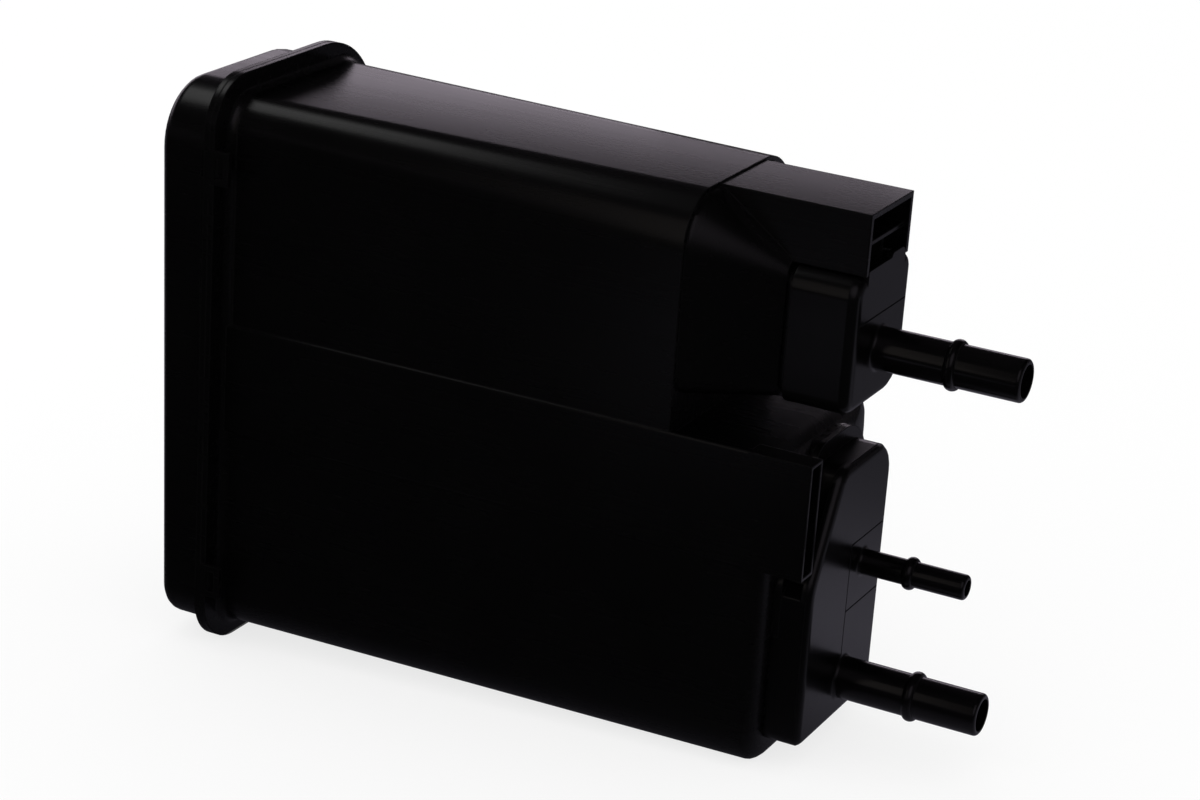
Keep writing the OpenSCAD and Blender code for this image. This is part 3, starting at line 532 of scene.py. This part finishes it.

# %% [markdown]
# ## Beds of carbon
#
# A section through the canister shows two beds of carbon, held between felts at the ports and foam pads
# under perforated plates, with springs behind them. Their solids already have the right form, so they
# stay and only take a finish. The carbon is pressed into small dull rods. Thousands of rods could be
# scattered, but nobody sees them in the shut canister, so smooth Voronoi cells of a rod's thickness draw
# them. Their colour is lighter in the middle of each rod and darker in the gaps between rods, which is
# painted shade.

# %% Carbon
PELLET = 2.2 * MM
RELIEF_STRENGTH = 0.6


def finish_by(tree, pattern, tones, rough, depth, **constants):
    """Surface whose tone, roughness and relief all follow one pattern from 0 to 1."""
    dark, light = tones
    rough_dark, rough_light = rough
    colour = add(tree, "Mix", {
        "Factor": pattern, MIX_A: linear(dark), MIX_B: linear(light),
    }, data_type="RGBA")
    roughness = add(tree, "MapRange", {"Value": pattern, "To Min": rough_dark, "To Max": rough_light})
    relief = add(tree, "Bump", {"Strength": RELIEF_STRENGTH, "Distance": depth, "Height": pattern})
    shader = add(tree, "BsdfPrincipled", {
        "Base Color": colour.outputs[MIX_COLOUR], "Roughness": roughness.outputs["Result"],
        "Normal": relief.outputs[0], **constants,
    })
    add(tree, "OutputMaterial", {"Surface": shader.outputs[0]})


carbon, tree = new_material("pressed activated carbon pellets")
place = add(tree, "TexCoord").outputs["Object"]
pellets = add(tree, "TexVoronoi", {"Vector": place, "Scale": 1 / PELLET}, feature="SMOOTH_F1")
# Painted shade: the tone darkens from each rod's middle into the gaps between rods.
rods_with_painted_gap_shade = add(tree, "Math", {0: 1.0, 1: pellets.outputs["Distance"]}, operation="SUBTRACT").outputs[0]
finish_by(tree, rods_with_painted_gap_shade, ("#0b0b0b", "#2e2d2c"), (0.95, 0.7), 0.6 * MM)
print("carbon:", carbon.name)

# %% [markdown]
# ## Felts
#
# The felts are needled from white polyester fibres that lie across and upright, which gives a soft, matt
# face with a slight sheen. Hair strands could show each fibre. Two stretched noise patterns do it with
# far less, drawn coarser than the real fibres so that they show.

# %% Felt
FIBRE_LENGTH = 6 * MM
FIBRE_WIDTH = 0.25 * MM
FIBRE_WAVE = 0.6
felt, tree = new_material("needled polyester felt")
place = add(tree, "TexCoord").outputs["Object"]
across = add(tree, "Mapping", {
    "Vector": place, "Scale": (1 / FIBRE_WIDTH, 1 / FIBRE_LENGTH, 1 / FIBRE_WIDTH),
}).outputs[0]
upright = add(tree, "Mapping", {
    "Vector": place, "Scale": (1 / FIBRE_WIDTH, 1 / FIBRE_WIDTH, 1 / FIBRE_LENGTH),
}).outputs[0]
fibres = add(tree, "Math", {
    0: add(tree, "TexNoise", {"Vector": across, "Scale": 1.0, "Distortion": FIBRE_WAVE}).outputs["Fac"],
    1: add(tree, "TexNoise", {"Vector": upright, "Scale": 1.0, "Distortion": FIBRE_WAVE}).outputs["Fac"],
}, operation="MAXIMUM").outputs[0]
finish_by(tree, fibres, ("#bdb9ac", "#efece3"), (0.98, 0.85), 0.2 * MM, **{"Sheen Weight": 0.3})
print("felt:", felt.name)

# %% [markdown]
# ## Foam pads
#
# Open-cell polyurethane foam is a net of thin struts around small cells, grey and quite matt. A mesh of
# struts would be far too heavy for a hidden pad. The distance to the edges of Voronoi cells gives such a
# net directly, at the size of the real cells. The struts take the light tone and the cells between them
# the dark one, which is painted shade in the open pores.

# %% Foam
FOAM_CELL = 1.3 * MM
STRUT_SHARE = 0.25
foam, tree = new_material("open-cell polyurethane foam")
place = add(tree, "TexCoord").outputs["Object"]
cells = add(tree, "TexVoronoi", {"Vector": place, "Scale": 1 / FOAM_CELL}, feature="DISTANCE_TO_EDGE")
# Painted shade: the cells between the struts take the dark tone.
struts_with_painted_pore_shade = add(tree, "MapRange", {
    "Value": cells.outputs["Distance"], "From Max": STRUT_SHARE, "To Min": 1.0, "To Max": 0.0,
}).outputs["Result"]
finish_by(tree, struts_with_painted_pore_shade, ("#1b1b1d", "#57575c"), (0.95, 0.75), 0.5 * MM)
print("foam:", foam.name)

# %% [markdown]
# ## Retainer plates
#
# The perforated plates are moulded in nylon without colour, which is a pale cream with faint clouds and
# lets a little light in under its surface. A soft noise gives the clouds, and some subsurface light gives
# the depth, which is quicker than a volume.

# %% Natural nylon
natural_nylon, tree = new_material("moulded natural PA66 nylon")
place = add(tree, "TexCoord").outputs["Object"]
mottle = add(tree, "TexNoise", {"Vector": place, "Scale": 1 / CLOUD_SIZE, "Detail": 8.0}).outputs["Fac"]
finish_by(tree, mottle, ("#c4c0ae", "#dcd8c8"), (0.35, 0.55), 0.1 * MM, **{
    "IOR": NYLON_IOR, "Subsurface Weight": 0.15, "Subsurface Scale": 2 * MM,
})
print("plates:", natural_nylon.name)

# %% [markdown]
# ## Springs
#
# The springs are wound from drawn steel wire. Drawing leaves fine lines that break the shine up. They could
# follow the wire's helix exactly, but noise that is stretched along the turns comes close with one node.
# The lines are coarser here than the real ones, so that they show.

# %% Spring steel
DRAW_LENGTH = 30 * MM
DRAW_WIDTH = 0.3 * MM
spring_steel, tree = new_material("drawn spring steel wire")
place = add(tree, "TexCoord").outputs["Object"]
drawn = add(tree, "Mapping", {
    "Vector": place, "Scale": (1 / DRAW_WIDTH, 1 / DRAW_LENGTH, 1 / DRAW_LENGTH),
}).outputs[0]
lines = add(tree, "TexNoise", {"Vector": drawn, "Scale": 1.0, "Detail": 3.0}).outputs["Fac"]
finish_by(tree, lines, ("#9a9b9c", "#c6c5c2"), (0.22, 0.42), 0.01 * MM, Metallic=1.0)
print("springs:", spring_steel.name)

# %% [markdown]
# ## Finish on the inner pieces
#
# Each inner solid takes the material of the real piece in place of its plain one. Copies like those of
# the outer shells aren't needed, because the flat facets are small and shut in.

# %% Dress the inner pieces
inside = {
    carbon: ["vent_carbon_bed", "fuel_carbon_bed"],
    felt: ["vent_port_felt", "tank_port_felt", "purge_port_felt"],
    foam: ["vent_foam_pad", "fuel_foam_pad"],
    natural_nylon: ["vent_retainer_plate", "fuel_retainer_plate"],
    spring_steel: ["vent_spring_front", "vent_spring_rear", "fuel_spring_front", "fuel_spring_rear"],
}
for material, nodes in inside.items():
    for node in nodes:
        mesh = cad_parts[node].data
        mesh.materials.clear()
        mesh.materials.append(material)
    print(material.name, "on", len(nodes), "pieces")
